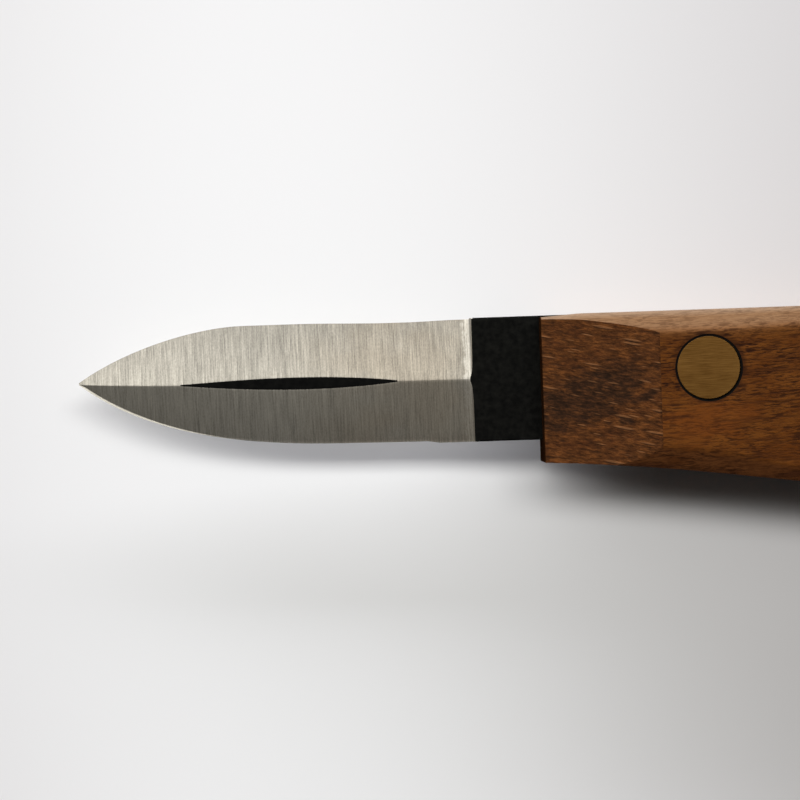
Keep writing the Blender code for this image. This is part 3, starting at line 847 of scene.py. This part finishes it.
def facetWood():
    material, tree, point, shader = startMaterial("roughFacetWood")
    look, front = facetLook, handleForm["front"]
    mottle, grit = pattern(tree, point, **look["mottle"]), pattern(tree, point, **look["grit"])
    across = separate(tree, point)["X"]
    colour = mixColour(tree, remap(tree, mottle, *look["mottleLevels"]), look["middle"], look["warm"])
    stain = stainMask(tree, point, mottle)
    speckled = product(tree, stain, remap(tree, grit, *look["stainGrit"]))
    colour = mixColour(tree, calc(tree, "MINIMUM", speckled, 1.0), colour, look["stain"])
    pits = remap(tree, grit, *look["pitLevels"])
    colour = mixColour(tree, product(tree, pits, look["pitShare"]), colour, look["dark"])
    colour = scaled(tree, colour, remap(tree, pits, 0.0, 1.0, *look["pitGain"]))
    fibres = product(tree, streaks(tree, point, **look["fibre"]), look["fibreShare"])
    colour = mixColour(tree, fibres, colour, look["dark"])

    # pale slivers and splinters, each sliver with a painted shadow beside it
    run = toWorld(0, *(handleForm["rampLength"] * share for share in look["sliverRun"]))
    chance = remap(tree, across, *run, *look["sliverChance"])
    slivers = dashes(tree, point, chance, **look["sliver"])
    splinters = dashes(tree, point, look["splinterChance"], **look["splinter"])
    shade = dashes(tree, point, chance, start=look["shadeStart"], **look["sliver"])
    colour = mixColour(tree, product(tree, shade, look["shadeShare"]), colour, look["dark"])
    fleck = calc(tree, "MAXIMUM", slivers, splinters)
    fleck = product(tree, fleck, remap(tree, grit, *look["fleckGrit"]))
    fleckShare = product(tree, fleck, remap(tree, stain, 0.0, 1.0, *look["fleckShare"]))
    colour = mixColour(tree, fleckShare, colour, look["fleck"])

    crease = creaseMask(tree, point, across, mottle)
    colour = scaled(tree, colour, gainBy(tree, crease, look["creaseGain"]))
    # painted shade: the front face is darkened
    frontShadeRun = toWorld(0, front, front + look["frontShadeRun"])
    colour = scaled(tree, colour, remap(tree, across, *frontShadeRun, *look["frontShadeGain"], smooth=True))
    roughness = remap(tree, mottle, *noiseRange, *look["roughness"])
    height = calc(tree, "SUBTRACT", product(tree, mottle, look["mottleHeight"]), pits)
    height = calc(tree, "ADD", height, fleck)
    feed(tree, shader, colour, roughness, height, look["bump"], Specular_IOR_Level=look["specular"])
    return material


def buildScale(name, side, node, materials):
    scale = addObject(name, skinMesh(name, scaleRings(side)))
    cutBores(scale, handleForm["boreReach"])
    paintScale(scale.data)
    finishPiece(scale, node, materials, handleForm["sharpAngle"])
    markFacet(scale.data)


woods = [sideWood(), facetWood()]
buildScale("leftScaleWood", 1.0, "left_scale", woods)
buildScale("rightScaleWood", -1.0, "right_scale", woods)
print("handle halves built")


# Pins ground flush with the wood, in dark glue

pinForm = {
    "radius": 4.70, "halfLength": handleForm["halfThickness"], "broken": 0.012, "edgeSteps": 6,
    "faceRun": (0.98, 0.3), "faceSteps": 8,  # the run in shares of the face's radius
    "glueSunk": 0.07, "glueGap": 0.008, "glueDip": 0.03, "sides": 128, "sharpAngle": 40.0,
}
brassLook = {
    "dark": (0.099, 0.045, 0.0096), "light": (0.194, 0.0983, 0.0257), "shine": (0.82, 0.64, 0.42, 1.0),
    "scratch": {"size": (3.2, 0.13, 2.0), "turn": 1.0}, "bloom": {"size": (4.5, 3.5, 4.0), "detail": 3.0},
    "weights": (0.45, 0.55), "toneLevels": (0.25, 0.75),
    "roughnessLevels": (0.2, 0.8, 0.56, 0.48), "bump": (0.15, 0.01),
}
glueLook = {
    "dark": (0.0015, 0.0012, 0.001), "light": (0.006, 0.004, 0.003),
    "grain": {"size": (0.5, 0.5, 0.5), "detail": 3.0},
    "roughness": (0.5, 0.7), "bump": (0.3, 0.04), "specular": 0.05,
}


def brassMaterial():
    material, tree, point, shader = startMaterial("groundBrass")
    look = brassLook
    scratch, bloom = lines(tree, point, **look["scratch"]), pattern(tree, point, **look["bloom"])
    tone = weighted(tree, (scratch, bloom), look["weights"])
    colour = mixColour(tree, remap(tree, tone, *look["toneLevels"]), look["dark"], look["light"])
    roughness = remap(tree, tone, *look["roughnessLevels"])
    feed(tree, shader, colour, roughness, scratch, look["bump"], Metallic=1.0, Specular_Tint=look["shine"])
    return material


def glueMaterial():
    material, tree, point, shader = startMaterial("darkGlue")
    look = glueLook
    grain = pattern(tree, point, **look["grain"])
    colour = mixColour(tree, grain, look["dark"], look["light"])
    roughness = remap(tree, grain, *noiseRange, *look["roughness"])
    feed(tree, shader, colour, roughness, grain, look["bump"], Specular_IOR_Level=look["specular"])
    return material


def pinProfile():
    # a wall, a broken edge that is a quarter circle, and a flat face, then the same mirrored below
    f = pinForm
    turn = quarterTurn(f["edgeSteps"])
    edgeRadius = f["radius"] - f["broken"] * (1.0 - np.cos(turn))
    edgeHeight = f["halfLength"] - f["broken"] * (1.0 - np.sin(turn))
    faceRadius = np.linspace(*f["faceRun"], f["faceSteps"]) * (f["radius"] - f["broken"])
    faceHeight = np.full(f["faceSteps"], f["halfLength"])
    half = np.hstack((np.stack((edgeRadius, edgeHeight)), np.stack((faceRadius, faceHeight)))).T
    return np.vstack(((half * (1.0, -1.0))[::-1], half))


def glueProfile():
    # a sleeve between pin and bore with dished ends
    f = pinForm
    inner = f["radius"] + math.hypot(*boreForm["shift"]) + f["glueGap"]
    outer = boreForm["radius"] - f["glueGap"]
    middle, end = (inner + outer) / 2, f["halfLength"] - f["glueSunk"]
    dish = end - f["glueDip"]
    return (inner, -end), (inner, end), (middle, dish), (outer, end), (outer, -end), (middle, -dish)


def buildPins():
    f = pinForm
    brass, glue = brassMaterial(), glueMaterial()
    for name, centre, bore in zip(("front", "rear"), pinCentres, boreCentres):
        pin = addObject(name + "PinBrass", latheMesh(name + "PinBrass", centre, pinProfile(), f["sides"]))
        finishPiece(pin, name + "_pin", [brass], f["sharpAngle"])
        sleeve = latheMesh(name + "PinGlue", bore, glueProfile(), f["sides"], closed=True)
        finishPiece(addObject(name + "PinGlue", sleeve), None, [glue], f["sharpAngle"])


buildPins()
print("pins and glue built")


# Paper, light and camera

stageForm = {
    "reach": 3000.0, "level": -0.02, "paper": (0.92, 0.92, 0.92), "shaded": (0.66, 0.642, 0.643),
    "glow": (-88.0, -30.0, 0.0), "glowSize": (88.0, 240.0, 100.0), "glowRun": (0.1, 1.3),
    "tooth": {"size": (0.7, 0.7, 0.7), "detail": 3.0},
    "roughness": (0.85, 0.95), "bump": (0.05, 0.05), "specular": 0.1,
}
lightForm = {  # tilt in degrees, lengths in metres
    "stripLight": {
        "tilt": 23.0, "slide": -0.6, "distance": 1.2, "size": (2.4, 0.28),
        "radiance": 7.4, "tint": (1.0, 1.0, 0.98),
    },
    "windowLight": {
        "tilt": 76.0, "slide": -0.075, "distance": 1.8, "size": (3.9, 0.38),
        "radiance": 14.6, "tint": (0.98, 0.99, 1.05),
    },
}
roomForm = {"strength": (0.03, 0.24), "northRun": (-0.1, 0.6), "tint": (1.0, 0.95, 0.90, 1.0)}
cameraForm = {
    "centre": (-70.32, -2.72), "distance": 350.0, "turn": -1.95,
    "seen": 122.9, "plane": bladeForm["halfBar"],
    "sensor": 36.0, "clipStart": 10.0,
}


def paperMaterial():
    material, tree, point, shader = startMaterial("whitePaper")
    look = stageForm
    # painted light and shade: the paper is brightest about the glow and falls to a warmer painted shade away
    # from it
    away = remoteness(tree, point, look["glowSize"], 0.0, look["glow"])
    fall = remap(tree, away, *look["glowRun"], smooth=True)
    colour = mixColour(tree, fall, look["paper"], look["shaded"])
    tooth = pattern(tree, point, **look["tooth"])
    roughness = remap(tree, tooth, *noiseRange, *look["roughness"])
    feed(tree, shader, colour, roughness, tooth, look["bump"], Specular_IOR_Level=look["specular"])
    return material


def buildFloor():
    reach, level = stageForm["reach"] * mm, stageForm["level"] * mm
    mesh = bpy.data.meshes.new("paperFloor")
    corners = [(x * reach, y * reach, level) for x, y in ((-1, -1), (1, -1), (1, 1), (-1, 1))]
    mesh.from_pydata(corners, [], [(0, 1, 2, 3)])
    floor = addObject("paperFloor", mesh)
    mesh.materials.append(paperMaterial())


def addLight(name, tilt, slide, distance, size, radiance, tint):
    # tilt is the angle from straight up towards +Y, slide moves the light along X, and the power is
    # radiance times area times pi
    data = bpy.data.lights.new(name, "AREA")
    data.shape, data.size, data.size_y = "RECTANGLE", *size
    data.energy = math.pi * size[0] * size[1] * radiance
    data.color = tint
    light = addObject(name, data)
    towards = Vector((0.0, math.sin(math.radians(tilt)), math.cos(math.radians(tilt))))
    target = Vector((cameraForm["centre"][0] * mm + slide, 0.0, 0.0))
    light.location = target + towards * distance
    light.rotation_euler = towards.to_track_quat("Z", "Y").to_euler()


def buildWorld():
    # a dim room, brighter towards +Y
    room = bpy.data.worlds.new("dimRoom")
    room.use_nodes = True
    bpy.context.scene.world = room
    tree = room.node_tree
    north = separate(tree, tree.nodes.new("ShaderNodeTexCoord").outputs["Generated"])["Y"]
    strength = remap(tree, north, *roomForm["northRun"], *roomForm["strength"], smooth=True)
    background = tree.nodes["Background"].inputs
    tree.links.new(strength, background["Strength"])
    background["Color"].default_value = roomForm["tint"]


def buildCamera():
    # seen is the width of the picture at the height of plane above the mid-plane
    f = cameraForm
    data = bpy.data.cameras.new("camera")
    data.sensor_width = f["sensor"]
    data.lens = f["sensor"] * (f["distance"] - f["plane"]) / f["seen"]
    data.clip_start = f["clipStart"] * mm
    camera = addObject("camera", data)
    camera.location = (f["centre"][0] * mm, f["centre"][1] * mm, (barOrigin[2] + f["distance"]) * mm)
    camera.rotation_euler = (0.0, 0.0, math.radians(f["turn"]))
    bpy.context.scene.camera = camera


buildFloor()
for name, settings in lightForm.items():
    addLight(name, **settings)
buildWorld()
buildCamera()
bpy.context.scene.view_settings.view_transform = "Standard"
print("floor, lights and camera set")
